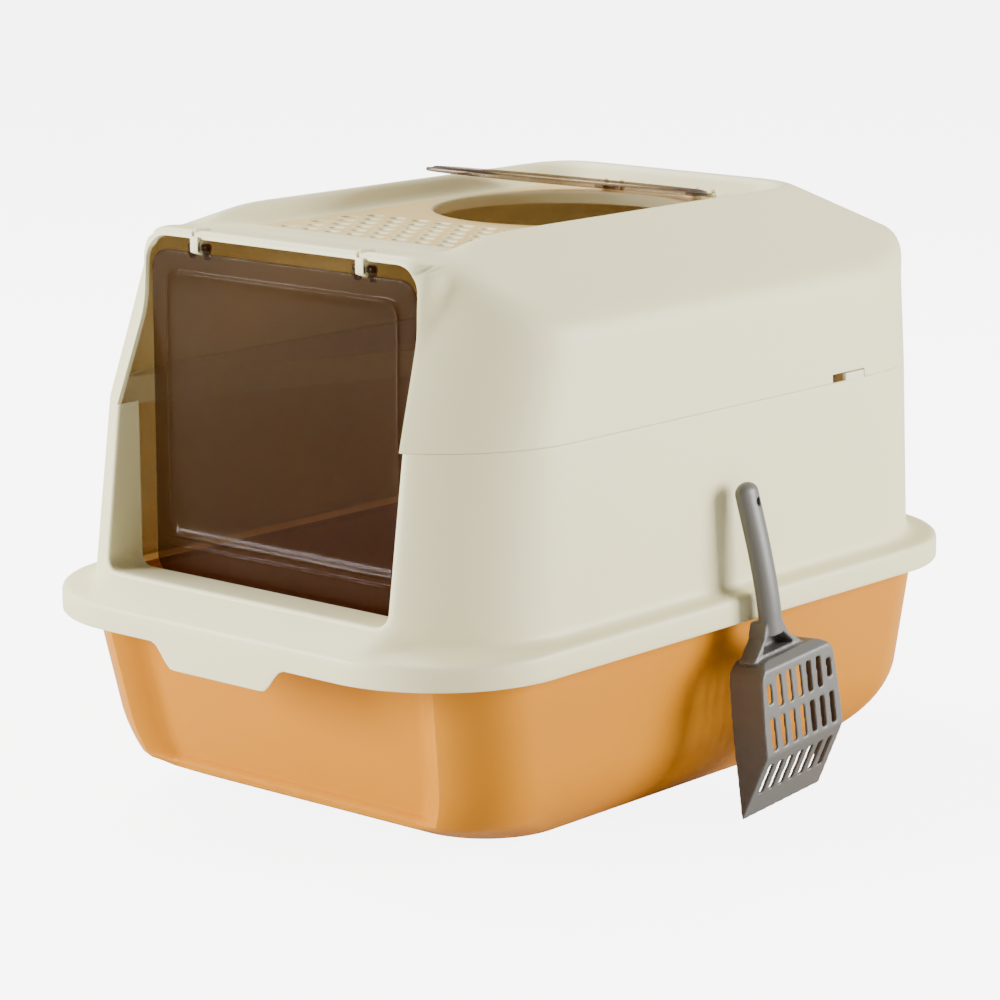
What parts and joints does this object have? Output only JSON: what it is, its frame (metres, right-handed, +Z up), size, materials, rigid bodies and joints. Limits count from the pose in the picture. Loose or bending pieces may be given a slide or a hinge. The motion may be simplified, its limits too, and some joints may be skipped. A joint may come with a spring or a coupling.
{
  "type": "cat litter box with hood",
  "caption": "Hooded cat litter box: open tub, raised surround with entry sill, lift-off hood with swinging clear flap, perforated top deck, hinged round top lid and a slotted scoop.",
  "frame": {"origin": "middle of the tub's flat underside, on the surface that the box stands on", "axes": "+Z up, entry faces -Y, the long side runs along Y, the scoop stands on the +X side"},
  "size_m": [0.4108, 0.55, 0.396],
  "materials": {
    "caramel_plastic": "satin moulded polypropylene, caramel orange",
    "cream_plastic": "fine satin moulded polypropylene, warm cream",
    "smoky_clear_plastic": "polished smoky brown clear plastic",
    "grey_plastic": "satin moulded plastic, mid grey"
  },
  "bodies": {
    "tub": {"litter_tub": "caramel_plastic"},
    "surround": {"lower_surround": "cream_plastic"},
    "hood": {"upper_hood": "cream_plastic", "flap_hanger_left": "cream_plastic", "flap_hanger_right": "cream_plastic"},
    "flap": {"entry_flap": "smoky_clear_plastic"},
    "lid": {"top_lid": "smoky_clear_plastic"},
    "scoop": {"litter_scoop": "grey_plastic"}
  },
  "joints": [
    {"name": "surround_lift", "type": "slide", "parent": "tub", "child": "surround", "axis": [0, 0, 1], "range_m": [0, 0.012]},
    {"name": "hood_lift", "type": "slide", "parent": "surround", "child": "hood", "axis": [0, 0, 1], "range_m": [0, 0.12]},
    {"name": "flap_swing", "type": "hinge", "parent": "hood", "child": "flap", "pos_m": [0, -0.2145, 0.3608], "axis": [1, 0, 0], "range_deg": [0, 80]},
    {"name": "lid_hinge", "type": "hinge", "parent": "hood", "child": "lid", "pos_m": [0, 0.15, 0.368], "axis": [-1, 0, 0], "range_deg": [-8, 110]},
    {"name": "scoop_take", "type": "slide", "parent": "tub", "child": "scoop", "axis": [1, 0, 0], "range_m": [0, 0.15]}
  ]
}
